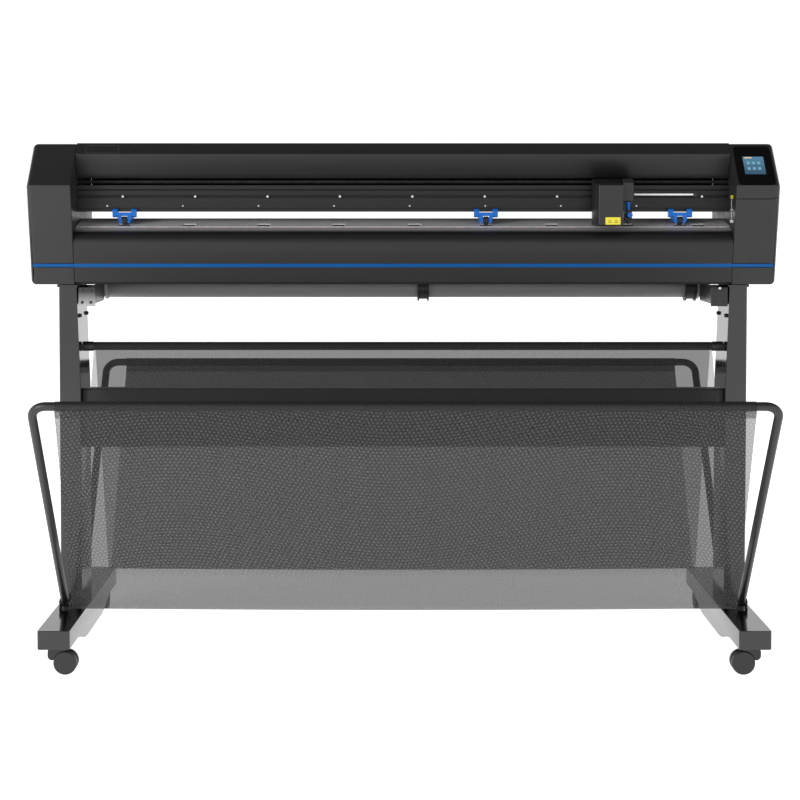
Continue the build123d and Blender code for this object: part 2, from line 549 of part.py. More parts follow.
def build_cloth():
    front = run_x(cloth_profile(FRONT_FOLD), -CLOTH_HALF, CLOTH_HALF)
    rear = run_x(cloth_profile(REAR_FOLD), -CLOTH_HALF, CLOTH_HALF)
    save("front_cloth", front)
    save("rear_cloth", mirror(rear, about=Plane.XZ))


def build_caster(name, x, y, turn):
    """Twin-wheel swivel caster; before turning it trails towards +X from its stem."""
    place = Pos(x, y, 0) * Rot(0, 0, turn)
    hood = block(-16.5, 20, -15, 15, 30, FOOT_END_BOTTOM - 0.6)
    hood = fillet(hood.edges().filter_by(Axis.Y).sort_by(Axis.X)[:2], 10)
    t = CASTER_TRAIL
    hood -= rod_y(t, -20, 20, CASTER_AXLE_Z, CASTER_WHEEL_R + 0.9)
    hood += rod_y(t, -3.2, 3.2, CASTER_AXLE_Z, 19) + block(-12, 14, -3.2, 3.2, 32, 55)
    hood += rod_z(0, 0, 50, 88, STEM_R) + rod_z(0, 0, 51.5, FOOT_END_BOTTOM - 0.6, 14)
    hood -= rod_y(t, -5, 5, CASTER_AXLE_Z, CASTER_AXLE_R + RUN_FIT)
    save(f"{name}_caster_hood", place * hood)
    wheels = rod_y(t, -17, 17, CASTER_AXLE_Z, CASTER_AXLE_R)
    for s in (-1, 1):
        a, b = sorted((s * 4, s * 17.5))
        wheel = rod_y(t, a, b, CASTER_AXLE_Z, CASTER_WHEEL_R)
        wheels += fillet(wheel.faces().filter_by(GeomType.CYLINDER).edges(), 2)
    save(f"{name}_caster_wheels", place * wheels)


# ---- media roll support -------------------------------------------------------------------------
def build_roll_support():
    """Two rollers behind the stand that carry the media roll, their brackets and sliding flanges."""
    front = LEG_FRONT + WALL
    side = [(front, 757), (front, 799), (LEG_BACK, 799), (368, 804), (368, 770), (228, 770), (206, 757)]
    plate = run_x(outline(side, 2.5), BRACKET_X, BRACKET_X + WALL)
    plate += block(BRACKET_X, 740, LEG_BACK + 0.2, LEG_BACK + 0.2 + WALL, 757, 799)
    plate += block(684, 721.5, front, front + WALL, 757, 799)
    for z in (766, 793):
        for x in (694, 713):
            plate -= rod_y(x, front - 5, front + 10, z, 2.6)
    for y in ROLLER_YS:
        plate -= rod_x(BRACKET_X - 5, BRACKET_X + 8, y, ROLLER_Z, 5 + RUN_FIT)
    save("roller_brackets", *both_sides(plate))
    for name, y in zip(("front_media_roller", "rear_media_roller"), ROLLER_YS):
        tube = rod_x(-ROLLER_HALF, ROLLER_HALF, y, ROLLER_Z, ROLLER_R)
        tube -= rod_x(-ROLLER_HALF + 8, ROLLER_HALF - 8, y, ROLLER_Z, ROLLER_R - 2)
        tube += rod_x(-ROLLER_HALF - 8, -ROLLER_HALF + 9, y, ROLLER_Z, 5)
        tube += rod_x(ROLLER_HALF - 9, ROLLER_HALF + 8, y, ROLLER_Z, 5)
        save(name, tube)
    for name, x in (("left_media_flange", 50.4), ("right_media_flange", 682.5)):
        flange = rod_x(x - 13.5, x + 13.5, ROLLER_YS[0], ROLLER_Z, 27)
        for s in (-1, 1):
            a, b = sorted((x + s * 9.5, x + s * 13.5))
            flange += rod_x(a, b, ROLLER_YS[0], ROLLER_Z, 31.5)
        save(name, flange - rod_x(x - 20, x + 20, ROLLER_YS[0], ROLLER_Z, ROLLER_R + RUN_FIT))


def main():
    os.makedirs("parts", exist_ok=True)
    end_piece = build_covers()
    build_top_cover()
    build_front_cover(end_piece)
    build_rear_cover()
    build_chassis()
    build_side_plates()
    build_platen()
    build_rail()
    build_drum()
    build_motors()
    build_belt_drive()
    build_carriage()
    build_tool()
    for side, x in PINCH_XS.items():
        build_pinch(side, x)
    build_lift()
    build_electronics()
    build_legs()
    build_feet()
    build_crossbars()
    build_hoops()
    build_cloth()
    build_caster("front_left", -CASTER_X, -CASTER_Y, 0)
    build_caster("front_right", CASTER_X, -CASTER_Y, 180)
    build_caster("rear_left", -CASTER_X, CASTER_Y, 90)
    build_caster("rear_right", CASTER_X, CASTER_Y, 90)
    build_roll_support()


main()
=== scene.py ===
"""Looks for a wide vinyl cutter on a castered stand with a two-pocket mesh basket.

Metres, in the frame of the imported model: X along the machine, Y from the operator to the back,
Z up, floor at zero.
"""
import json
import math

import bmesh
import bpy
from mathutils import Matrix, Vector
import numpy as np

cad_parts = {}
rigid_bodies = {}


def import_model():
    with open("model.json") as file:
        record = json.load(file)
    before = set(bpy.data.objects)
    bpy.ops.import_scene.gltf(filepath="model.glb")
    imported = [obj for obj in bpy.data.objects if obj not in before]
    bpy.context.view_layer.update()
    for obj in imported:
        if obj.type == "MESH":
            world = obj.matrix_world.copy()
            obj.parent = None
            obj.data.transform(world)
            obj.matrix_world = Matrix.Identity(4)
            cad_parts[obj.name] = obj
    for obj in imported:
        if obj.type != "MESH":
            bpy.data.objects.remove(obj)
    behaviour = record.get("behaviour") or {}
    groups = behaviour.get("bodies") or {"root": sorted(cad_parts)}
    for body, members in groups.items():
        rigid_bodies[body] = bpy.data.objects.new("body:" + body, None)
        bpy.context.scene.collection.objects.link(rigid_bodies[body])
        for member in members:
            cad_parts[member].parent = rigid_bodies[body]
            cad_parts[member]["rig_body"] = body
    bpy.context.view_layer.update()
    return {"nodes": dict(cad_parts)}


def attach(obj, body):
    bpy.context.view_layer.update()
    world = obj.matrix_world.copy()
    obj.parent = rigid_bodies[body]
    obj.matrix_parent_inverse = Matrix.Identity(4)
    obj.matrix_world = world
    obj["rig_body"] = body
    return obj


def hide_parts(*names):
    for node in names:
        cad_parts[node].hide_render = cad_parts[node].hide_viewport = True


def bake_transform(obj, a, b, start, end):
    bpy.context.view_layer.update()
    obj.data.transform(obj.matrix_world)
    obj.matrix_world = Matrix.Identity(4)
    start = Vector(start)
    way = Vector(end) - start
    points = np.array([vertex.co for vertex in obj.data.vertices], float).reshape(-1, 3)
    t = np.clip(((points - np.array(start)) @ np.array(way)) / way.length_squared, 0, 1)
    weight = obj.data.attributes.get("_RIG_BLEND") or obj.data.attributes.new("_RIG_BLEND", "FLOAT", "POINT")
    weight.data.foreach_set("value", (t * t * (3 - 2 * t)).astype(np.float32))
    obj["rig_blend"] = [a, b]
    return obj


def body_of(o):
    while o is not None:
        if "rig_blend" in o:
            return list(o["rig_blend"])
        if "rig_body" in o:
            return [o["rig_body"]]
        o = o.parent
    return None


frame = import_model()
NODES = frame["nodes"]


def extent(name):
    """Lowest and highest corner of a CAD part at rest, to a hundredth of a millimetre."""
    points = [NODES[name].matrix_world @ v.co for v in NODES[name].data.vertices]
    return tuple([round(extreme(p[i] for p in points), 5) for i in range(3)] for extreme in (min, max))


# ---- camera -------------------------------------------------------------------------------------
camera_data = bpy.data.cameras.new("camera")
camera_data.sensor_width = 36.0
camera_data.lens = 83.155
camera_data.shift_x = 0.02078
camera_data.shift_y = -0.15
camera_data.clip_start, camera_data.clip_end = 0.05, 200.0
camera = bpy.data.objects.new("camera", camera_data)
camera.location = (-0.04375, -4.1451, 0.98716)
camera.rotation_euler = (math.radians(90 - 2.395), 0.0, 0.0)
bpy.context.scene.collection.objects.link(camera)
bpy.context.scene.camera = camera

# ---- light --------------------------------------------------------------------------------------
bpy.context.scene.view_settings.view_transform = "Standard"
bpy.context.scene.view_settings.look = "None"


def make_world():
    """White surroundings up to a low ceiling angle, darker overhead."""
    world = bpy.data.worlds.new("studio")
    bpy.context.scene.world = world
    world.use_nodes = True
    tree = world.node_tree
    back = tree.nodes["Background"]
    where = tree.nodes.new("ShaderNodeTexCoord")
    split = tree.nodes.new("ShaderNodeSeparateXYZ")
    ramp = tree.nodes.new("ShaderNodeValToRGB")
    tree.links.new(where.outputs["Generated"], split.inputs[0])
    tree.links.new(split.outputs["Z"], ramp.inputs["Fac"])
    tree.links.new(ramp.outputs["Color"], back.inputs["Color"])
    ramp.color_ramp.elements[0].position = 0.30
    ramp.color_ramp.elements[0].color = (1, 1, 1, 1)
    ramp.color_ramp.elements[1].position = 0.55
    ramp.color_ramp.elements[1].color = (0.2, 0.2, 0.2, 1)
    back.inputs["Strength"].default_value = 1.05


def area_light(name, place, aim, size, power):
    data = bpy.data.lights.new(name, "AREA")
    data.shape = "RECTANGLE"
    data.size, data.size_y = size
    data.energy = power
    lamp = bpy.data.objects.new(name, data)
    lamp.location = place
    lamp.rotation_euler = (Vector(aim) - Vector(place)).to_track_quat("-Z", "Y").to_euler()
    bpy.context.scene.collection.objects.link(lamp)


make_world()
area_light("key", (-3.4, -3.2, 1.9), (-0.5, 0, 0.75), (2.4, 2.0), 100)
area_light("side", (3.6, -3.0, 1.6), (0.6, 0, 0.8), (1.6, 1.6), 12)
area_light("fill", (0.5, 3.5, 2.6), (0, 0, 0.8), (2.5, 1.5), 12)


# ---- material helpers ---------------------------------------------------------------------------
STREAK_ALONG = 1.5                # noise stretch along the lines of rolled or extruded metal
STREAK_ACROSS = 220.0             # the same across them


class Shader:
    """One Principled material with nodes added by short calls."""

    def __init__(self, name, **sockets):
        self.mat = bpy.data.materials.new(name)
        self.mat.use_nodes = True
        self.tree = self.mat.node_tree
        self.bsdf = self.tree.nodes["Principled BSDF"]
        for key, value in sockets.items():
            self.bsdf.inputs[key.replace("_", " ")].default_value = value
        self.place = self.node("ShaderNodeTexCoord").outputs["Object"]

    def node(self, kind, **values):
        made = self.tree.nodes.new(kind)
        for key, value in values.items():
            setattr(made, key, value)
        return made

    def join(self, a, b):
        self.tree.links.new(a, b)

    def mapped(self, vector, scale, shift=(0, 0, 0)):
        """Coordinates stretched by scale, then moved by shift."""
        mapping = self.node("ShaderNodeMapping")
        mapping.inputs["Scale"].default_value = scale
        mapping.inputs["Location"].default_value = shift
        self.join(vector, mapping.inputs["Vector"])
        return mapping.outputs["Vector"]

    def vector(self, operation, a, b=None):
        made = self.node("ShaderNodeVectorMath", operation=operation)
        self.join(a, made.inputs[0])
        if b is not None:
            made.inputs[1].default_value = b
        return made.outputs["Value" if operation == "LENGTH" else "Vector"]

    def streaks(self, across):
        """Noise drawn out into lines along X; across sets how fine the lines are."""
        return self.noise(4.0, self.mapped(self.place, (STREAK_ALONG, across, across)), detail=4.0)

    def noise(self, scale, vector=None, detail=3.0):
        made = self.node("ShaderNodeTexNoise")
        made.inputs["Scale"].default_value = scale
        made.inputs["Detail"].default_value = detail
        made.inputs["Roughness"].default_value = 0.55
        self.join(vector or self.place, made.inputs["Vector"])
        return made.outputs["Fac"]

    def cells(self, scale):
        made = self.node("ShaderNodeTexVoronoi")
        made.inputs["Scale"].default_value = scale
        self.join(self.place, made.inputs["Vector"])
        return made.outputs["Distance"]

    def math(self, operation, a, b=None, clamp=False):
        made = self.node("ShaderNodeMath", operation=operation, use_clamp=clamp)
        for slot, value in zip(made.inputs, (a, b)):
            if value is None:
                continue
            if isinstance(value, (int, float)):
                slot.default_value = value
            else:
                self.join(value, slot)
        return made.outputs[0]

    def ramp(self, source, low, high):
        """source from 0..1 to low..high colours, given as (position, grey or colour)."""
        made = self.node("ShaderNodeValToRGB")
        for element, (position, colour) in zip(made.color_ramp.elements, (low, high)):
            element.position = position
            rgb = (colour,) * 3 if isinstance(colour, (int, float)) else colour
            element.color = (*rgb, 1.0)
        self.join(source, made.inputs["Fac"])
        return made.outputs["Color"]

    def spread(self, source, low, high, a=0.3, b=0.7):
        made = self.node("ShaderNodeMapRange")
        for key, value in (("From Min", a), ("From Max", b), ("To Min", low), ("To Max", high)):
            made.inputs[key].default_value = value
        self.join(source, made.inputs["Value"])
        return made.outputs["Result"]

    def axis(self, letter):
        """One of the object coordinates, in metres."""
        parts = self.node("ShaderNodeSeparateXYZ")
        self.join(self.place, parts.inputs[0])
        return parts.outputs[letter]

    def inside_box(self, *spans):
        """1 within the given (axis, low, high) spans, else 0."""
        out = 1.0
        for letter, low, high in spans:
            value = self.axis(letter)
            for test in (self.math("GREATER_THAN", value, low), self.math("LESS_THAN", value, high)):
                out = self.math("MULTIPLY", test, out)
        return out

    def pick(self, share, colour_a, colour_b):
        """colour_a where share is 0, colour_b where it is 1."""
        mix = self.node("ShaderNodeMix", data_type="RGBA")
        self.join(share, mix.inputs[0])
        for slot, value in ((6, colour_a), (7, colour_b)):
            if isinstance(value, tuple):
                mix.inputs[slot].default_value = (*value, 1.0)
            else:
                self.join(value, mix.inputs[slot])
        return mix.outputs[2]

    def colour(self, source):
        self.join(source, self.bsdf.inputs["Base Color"])

    def roughness(self, source):
        self.join(source, self.bsdf.inputs["Roughness"])

    def bump(self, source, strength, depth, last=None):
        made = self.node("ShaderNodeBump")
        made.inputs["Strength"].default_value = strength
        made.inputs["Distance"].default_value = depth
        self.join(source, made.inputs["Height"])
        if last:
            self.join(last, made.inputs["Normal"])
        self.join(made.outputs["Normal"], self.bsdf.inputs["Normal"])
        return made.outputs["Normal"]


def shade(colour, share):
    """A colour made darker or lighter."""
    return tuple(c * share for c in colour)


def moulded(name, colour, rough=(0.42, 0.55), grain=1400.0, depth=0.00006, patch=0.12, **more):
    """Moulded plastic or powder coat: fine grain, slow change of gloss and of tone."""
    s = Shader(name, **more)
    tone = s.noise(9.0, detail=5.0)
    s.colour(s.ramp(tone, (0.3, shade(colour, 1 - patch)), (0.7, shade(colour, 1 + patch))))
    s.roughness(s.spread(s.noise(38.0, detail=4.0), *rough))
    fine = s.bump(s.cells(grain), 0.35, depth)
    s.bump(s.noise(grain * 0.35, detail=2.0), 0.25, depth * 1.5, last=fine)
    return s.mat


def drawn(name, colour, rough, metallic=0.0, lines=1.0, shaded_rooms=(), **more):
    """Metal or coated sheet with fine lines along X. Faces inside a shaded room reflect little, as painted shade.
    """
    s = Shader(name, Metallic=metallic, **more)
    if shaded_rooms:
        within = s.math("ADD", *(s.inside_box(*room) for room in shaded_rooms))
        # Painted shade: the specular level drops inside the given rooms.
        s.join(s.spread(within, 0.45, 0.05, 0.0, 1.0), s.bsdf.inputs["Specular IOR Level"])
    streak = s.streaks(STREAK_ACROSS * lines)
    s.colour(s.ramp(streak, (0.3, shade(colour, 0.9)), (0.7, shade(colour, 1.1))))
    cloudy = s.noise(14.0, detail=4.0)
    mixed = s.math("ADD", s.math("MULTIPLY", streak, 0.5), s.math("MULTIPLY", cloudy, 0.5))
    s.roughness(s.spread(mixed, *rough))
    s.bump(streak, 0.12, 0.00008)
    return s.mat


def turned(name, colour, rough=(0.2, 0.35)):
    """Bare machined metal with a light haze."""
    s = Shader(name, Metallic=1.0)
    s.colour(s.ramp(s.noise(60.0, detail=5.0), (0.3, shade(colour, 0.85)), (0.7, shade(colour, 1.08))))
    s.roughness(s.spread(s.noise(140.0, detail=3.0), *rough))
    s.bump(s.noise(900.0, detail=2.0), 0.15, 0.00005)
    return s.mat


def rubber(name, colour, rough=(0.7, 0.85)):
    """Soft rubber with a rough, slightly blotchy skin."""
    s = Shader(name)
    s.colour(s.ramp(s.noise(120.0, detail=5.0), (0.3, shade(colour, 0.8)), (0.7, shade(colour, 1.25))))
    s.roughness(s.spread(s.noise(60.0), *rough))
    s.bump(s.noise(1800.0, detail=2.0), 0.4, 0.00006)
    return s.mat


# ---- the mesh cloth -----------------------------------------------------------------------------
YARN_PITCH = (0.0048, 0.0046)
MESH_OPEN = (0.475, 0.375)        # light let through by plain mesh, in a hole and at a yarn
DOT_OPEN = (0.35, 0.30)           # the same at a knot of the outer face and between knots
SWAY_RATE = 7.0                   # waves of the rows and lines of knots, in radians per metre
ROW_SWAY, LINE_SWAY = 0.035, 0.02
# Distances from the hoop's end of the cloth, in metres down the cloth.
FACE_START = (0.080, 0.084)       # the outer face fades in
FACE_FADE = 0.03                  # and takes this length to fade out
FLAP = (0.084, 0.176)             # second layer turned down from the hoop
FLAP_FADE = 0.002


def mesh_cloth(name, pitch, face_end, flap_share):
    """Knitted mesh: fine yarn, an outer face with painted highlights on its knots, a flap below the hoop. UVs are
    metres.
    """
    s = Shader(name, Roughness=0.6)
    uv = s.node("ShaderNodeTexCoord").outputs["UV"]

    def lattice(pitch, shift, where):
        """Distance from the middle of each cell of a grid, as a share of the cell's width."""
        cell = s.mapped(where, (1.0 / pitch[0], 1.0 / pitch[1], 1.0), (shift, shift, 0))
        centred = s.vector("SUBTRACT", s.vector("FRACTION", cell), (0.5, 0.5, 0))
        return s.vector("LENGTH", s.vector("MULTIPLY", centred, (1.0, pitch[1] / pitch[0], 0)))

    def staggered(pitch, where):
        """The same for two grids half a cell apart."""
        return s.math("MINIMUM", lattice(pitch, 0.0, where), lattice(pitch, 0.5, where))

    def swayed(value, along, reach):
        """value moved to and fro by up to reach as along runs on."""
        wave = s.math("SINE", s.math("MULTIPLY", along, SWAY_RATE))
        return s.math("ADD", value, s.math("MULTIPLY", wave, reach))

    parts = s.node("ShaderNodeSeparateXYZ")
    s.join(uv, parts.inputs[0])
    across, down = parts.outputs["X"], parts.outputs["Y"]
    bent = s.node("ShaderNodeCombineXYZ")
    s.join(swayed(across, down, LINE_SWAY), bent.inputs[0])
    s.join(swayed(down, across, ROW_SWAY), bent.inputs[1])
    coarse, fine = staggered(pitch, bent.outputs[0]), staggered(YARN_PITCH, uv)
    face = s.math("MULTIPLY", s.spread(down, 0.0, 1.0, *FACE_START),
                  s.spread(down, 1.0, 0.0, face_end - FACE_FADE, face_end))
    plain = s.spread(fine, *MESH_OPEN, 0.1, 0.4)
    knit = s.spread(coarse, *DOT_OPEN, 0.12, 0.38)
    light = s.math("ADD", s.math("MULTIPLY", knit, face),
                   s.math("MULTIPLY", plain, s.math("SUBTRACT", 1.0, face)))
    flap = s.math("MULTIPLY", s.spread(down, 0.0, 1.0, FLAP[0], FLAP[0] + FLAP_FADE),
                  s.spread(down, 1.0, 0.0, FLAP[1], FLAP[1] + FLAP_FADE))
    light = s.math("MULTIPLY", light, s.math("ADD", s.math("MULTIPLY", flap, flap_share - 1.0), 1.0))
    s.join(s.math("SUBTRACT", 1.0, light, clamp=True), s.bsdf.inputs["Alpha"])
    yarn = s.ramp(s.noise(500.0, uv), (0.3, (0.006, 0.006, 0.0062)), (0.7, (0.015, 0.015, 0.0155)))
    # Painted highlight: the knots of the outer face are paler, standing in for yarn catching the light.
    painted_knot_highlight = s.math("MULTIPLY", s.spread(coarse, 1.0, 0.0, 0.12, 0.30), face)
    s.colour(s.pick(painted_knot_highlight, yarn, (0.10, 0.10, 0.10)))
    s.bump(fine, 0.3, 0.0003, last=s.bump(coarse, 0.2, 0.0003))
    s.mat.surface_render_method = "DITHERED"
    return s.mat


# ---- the shape of the hung cloths ---------------------------------------------------------------
TUBE_R = 0.009                    # hoops
CLOTH_T = 0.0012
SLEEVE_R = 0.0102                 # the cloth's middle surface round a bar
CLOTH_LOW, CLOTH_HIGH = extent("front_cloth")
CLOTH_HALF = CLOTH_HIGH[0]
HOOP_Y = -CLOTH_LOW[1] - SLEEVE_R - CLOTH_T / 2
HOOP_Z = extent("front_hoop")[1][2] - TUBE_R
BAR_Z = sum(corner[2] for corner in extent("cloth_bar")) / 2
FRONT_FOLD, REAR_FOLD = (-0.303, 0.098), (-0.203, 0.080)
FOLD_R = 0.030
SLEEVE_START = math.radians(96)   # where a cloth starts on top of the cloth bar
SLEEVE_TURN = math.radians(338)   # how far it goes round the hoop's bar
HEM = 0.022                       # how far the sleeve's end is sewn back onto the panel
HEM_GAP = 0.0013                  # between the hem and the panel
POINT_STEP, HEM_STEP = 0.02, 0.006
COLUMNS = 70
# Waves of the hanging cloth: height, half waves across, radians per metre down, start.
WAVES = ((0.0011, 5.1, 3.0, 0.0), (0.0008, 13.0, 0.0, 1.3))
BELLY = 0.0035                    # how far the middle bulges
SEWN_LENGTH = 0.09                # sleeve and hem at the hoop's end, which stay straight
TAUT_LENGTH = 0.12                # waves die out over this length next to the fold


def tangent(centre, outside, r):
    """Where a line from a point outside touches a circle, and at what angle."""
    d = Vector(outside) - Vector(centre)
    angle = math.atan2(d.y, d.x) - math.acos(r / d.length)
    return Vector(centre) + r * Vector((math.cos(angle), math.sin(angle))), angle


def run_points(a, b, step):
    """Evenly spaced points from a to b, without a itself."""
    count = max(2, round((Vector(b) - Vector(a)).length / step))
    return [Vector(a).lerp(Vector(b), i / count) for i in range(1, count + 1)]


def arc_points(centre, r, a0, a1, count):
    """Points on an arc from angle a0 to angle a1, without the first."""
    return [Vector((centre[0] + r * math.cos(a0 + (a1 - a0) * i / count),
                    centre[1] + r * math.sin(a0 + (a1 - a0) * i / count))) for i in range(1, count + 1)]


def cloth_line(fold):
    """Section of a pocket as (y, z) points, with the operator's side negative."""
    bar, hoop = Vector((0, BAR_Z)), Vector((-HOOP_Y, HOOP_Z))
    fold = Vector(fold)
    leave, leave_angle = tangent(bar, fold, SLEEVE_R)
    reach, reach_angle = tangent(hoop, fold, SLEEVE_R)
    points = [bar + SLEEVE_R * Vector((math.cos(SLEEVE_START), math.sin(SLEEVE_START)))]
    points += arc_points(bar, SLEEVE_R, SLEEVE_START, leave_angle % (2 * math.pi), 6)
    into, out = (fold - leave).normalized(), (reach - fold).normalized()
    cut = FOLD_R * math.tan(into.angle(out) / 2)
    first, last = fold - into * cut, fold + out * cut
    points += run_points(leave, first, POINT_STEP)
    side = Vector((-into.y, into.x))
    if side.dot(out) < 0:
        side = -side
    centre = first + side * FOLD_R
    a0 = math.atan2(first.y - centre.y, first.x - centre.x)
    a1 = math.atan2(last.y - centre.y, last.x - centre.x)
    while a1 > a0:
        a1 -= 2 * math.pi
    if a0 - a1 > math.pi:
        a1 += 2 * math.pi
    points += arc_points(centre, FOLD_R, a0, a1, 12)
    points += run_points(last, reach, POINT_STEP)
    points += arc_points(hoop, SLEEVE_R, reach_angle, reach_angle - SLEEVE_TURN, 26)
    back = (fold - reach).normalized()
    inner = Vector((-back.y, back.x)) * HEM_GAP
    if inner.x < 0:
        inner = -inner
    points += run_points(points[-1], reach + back * HEM + inner, HEM_STEP)
    return points


def build_cloth(name, fold, mirror):
    """One pocket as a single sheet, slightly slack, with UVs in metres along the cloth."""
    line = cloth_line(fold)
    mesh = bmesh.new()
    uv = mesh.loops.layers.uv.new("cloth")
    along = [0.0]
    for a, b in zip(line, line[1:]):
        along.append(along[-1] + (b - a).length)
    total = along[-1]
    fold_at = min(zip((p.y for p in line), along))[1]    # how far along the lowest point is
    grid = []
    for j, p in enumerate(line):
        before, after = line[max(j - 1, 0)], line[min(j + 1, len(line) - 1)]
        t = (after - before).normalized()
        normal = Vector((-t.y, t.x))
        row = []
        free = max(0.0, math.sin(math.pi * min(1.0, along[j] / (total - SEWN_LENGTH))))
        taut = min(1.0, abs(along[j] - fold_at) / TAUT_LENGTH)
        for i in range(COLUMNS + 1):
            u = i / COLUMNS
            x = CLOTH_HALF * (2 * u - 1)
            wave = sum(height * math.sin(halves * math.pi * u + rate * along[j] + start)
                       for height, halves, rate, start in WAVES)
            edge = min(1.0, 6 * min(u, 1 - u))
            belly = BELLY * math.sin(math.pi * u) * free
            y, z = p + normal * (wave * free * edge * taut + belly)
            row.append(mesh.verts.new((x, y * (-1 if mirror else 1), z)))
        grid.append(row)
    for j in range(len(line) - 1):
        for i in range(COLUMNS):
            corners = [grid[j][i], grid[j][i + 1], grid[j + 1][i + 1], grid[j + 1][i]]
            face = mesh.faces.new(corners if not mirror else corners[::-1])
            face.smooth = True
            for loop in face.loops:
                v = loop.vert
                jj = j if v in (grid[j][i], grid[j][i + 1]) else j + 1
                loop[uv].uv = (v.co.x + CLOTH_HALF, total - along[jj])
    data = bpy.data.meshes.new(name)
    mesh.to_mesh(data)
    mesh.free()
    data.materials.append(REAR_MESH if mirror else FRONT_MESH)
    obj = bpy.data.objects.new(name, data)
    bpy.context.scene.collection.objects.link(obj)
    return obj, total


# ---- small mesh helpers -------------------------------------------------------------------------
SHARP = math.radians(35)          # edges sharper than this are bevelled and stay sharp in shading
BEVEL_SEGMENTS = 2


def finished(name, mesh, material, body, bevel=0.0):
    """Turns the mesh built so far into one named piece that rides on a body."""
    data = bpy.data.meshes.new(name)
    bmesh.ops.recalc_face_normals(mesh, faces=mesh.faces)
    if bevel:
        edges = [e for e in mesh.edges if len(e.link_faces) == 2 and e.calc_face_angle(0.0) > SHARP]
        bmesh.ops.bevel(mesh, geom=edges, offset=bevel, segments=BEVEL_SEGMENTS, profile=0.5,
                        affect="EDGES", clamp_overlap=True)
    for face in mesh.faces:
        face.smooth = True
    for e in mesh.edges:
        e.smooth = len(e.link_faces) != 2 or e.calc_face_angle(0.0) < SHARP
    mesh.to_mesh(data)
    mesh.free()
    data.materials.append(material)
    obj = bpy.data.objects.new(name, data)
    bpy.context.scene.collection.objects.link(obj)
    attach(obj, body)


def add_box(mesh, x, y, z, turn=None, about=None):
    """Block between the given (low, high) pairs, turned about a point if asked."""
    centre = Vector(((x[0] + x[1]) / 2, (y[0] + y[1]) / 2, (z[0] + z[1]) / 2))
    size = Matrix.Diagonal((x[1] - x[0], y[1] - y[0], z[1] - z[0], 1))
    place = Matrix.Translation(centre) @ size
    if turn is not None:
        pivot = Matrix.Translation(about)
        place = pivot @ turn @ pivot.inverted() @ place
    bmesh.ops.create_cube(mesh, size=1.0, matrix=place)


def add_rod(mesh, a, b, r, r2=None, sides=24):
    """Round bar from a to b, with another radius at b if asked."""
    a, b = Vector(a), Vector(b)
    place = Matrix.Translation((a + b) / 2) @ (b - a).to_track_quat("Z", "Y").to_matrix().to_4x4()
    bmesh.ops.create_cone(mesh, cap_ends=True, segments=sides, radius1=r, radius2=r2 or r,
                          depth=(b - a).length, matrix=place)


# ---- materials on the CAD parts -----------------------------------------------------------------
def knife_finish():
    """Blue cap above, steel body below it."""
    s = Shader("knife_blue", Specular_IOR_Level=0.3)
    cap_height = 0.0175
    top = extent("knife")[1][2]
    cap = s.inside_box(("Z", top - cap_height, 1.0))
    blue = s.ramp(s.noise(40.0), (0.3, (0.0008, 0.12, 0.5)), (0.7, (0.0008, 0.14, 0.56)))
    s.colour(s.pick(cap, s.ramp(s.noise(90.0), (0.3, 0.02), (0.7, 0.03)), blue))
    s.roughness(s.spread(s.noise(70.0), 0.28, 0.4))
    s.bump(s.noise(800.0), 0.15, 0.00005)
    return s.mat


def platen_finish():
    """Bright aluminium table, darker on the front bevel as painted shade, painted on the front edge."""
    s = Shader("platen_aluminium", Metallic=0.3)
    front = extent("platen")[0][1]
    bevel_width, edge_width = 0.0158, 0.0006
    streak = s.streaks(0.7 * STREAK_ACROSS)
    bevel = s.inside_box(("Y", front - 0.01, front + bevel_width))
    edge = s.inside_box(("Y", front - 0.01, front + edge_width))
    top = s.ramp(streak, (0.3, 0.7), (0.7, 0.78))
    # The bevel's grey is painted shade, standing in for the darker overhead that it reflects.
    s.colour(s.pick(edge, s.pick(bevel, top, (0.3, 0.3, 0.3)), (0.004, 0.004, 0.004)))
    s.roughness(s.spread(s.noise(14.0, detail=4.0), 0.34, 0.46))
    s.bump(streak, 0.12, 0.00008)
    return s.mat


def ribbon_finish():
    """White ribbon cable with a black plug."""
    s = Shader("ribbon")
    plug_length = 0.0082
    end = extent("ribbon_cable")[1][0]
    plug = s.inside_box(("X", end - plug_length, end + 0.01))
    lines = s.streaks(4 * STREAK_ACROSS)
    s.colour(s.pick(plug, s.ramp(lines, (0.3, 0.78), (0.7, 0.9)), (0.008, 0.008, 0.008)))
    s.roughness(s.spread(s.noise(40.0), 0.35, 0.45))
    s.bump(lines, 0.12, 0.00008)
    return s.mat


def bracket_finish():
    """Bright steel on the left bracket's front, painted as a reflection fading from light at the bottom to dark
    at the top; black paint elsewhere.
    """
    s = Shader("bracket_steel")
    left, front, bottom = extent("roller_brackets")[0]
    width, front_depth, fade_height = 0.14, 0.0035, 0.042
    bare = s.inside_box(("X", left, left + width), ("Y", front - 0.006, front + front_depth))
    # Painted reflection: the bare front is lightest at the bottom and darkens towards the top.
    painted_light_fade = s.spread(s.axis("Z"), 0.45, 0.0, bottom, bottom + fade_height)
    steel = s.ramp(painted_light_fade, (0.1, (0.03, 0.03, 0.03)), (0.9, (0.9, 0.9, 0.9)))
    s.colour(s.pick(bare, s.ramp(s.noise(30.0), (0.3, 0.006), (0.7, 0.009)), steel))
    s.join(s.spread(bare, 0.0, 0.35, 0.0, 1.0), s.bsdf.inputs["Metallic"])
    s.roughness(s.spread(s.noise(80.0), 0.3, 0.42))
    s.bump(s.noise(500.0), 0.15, 0.00006)
    return s.mat


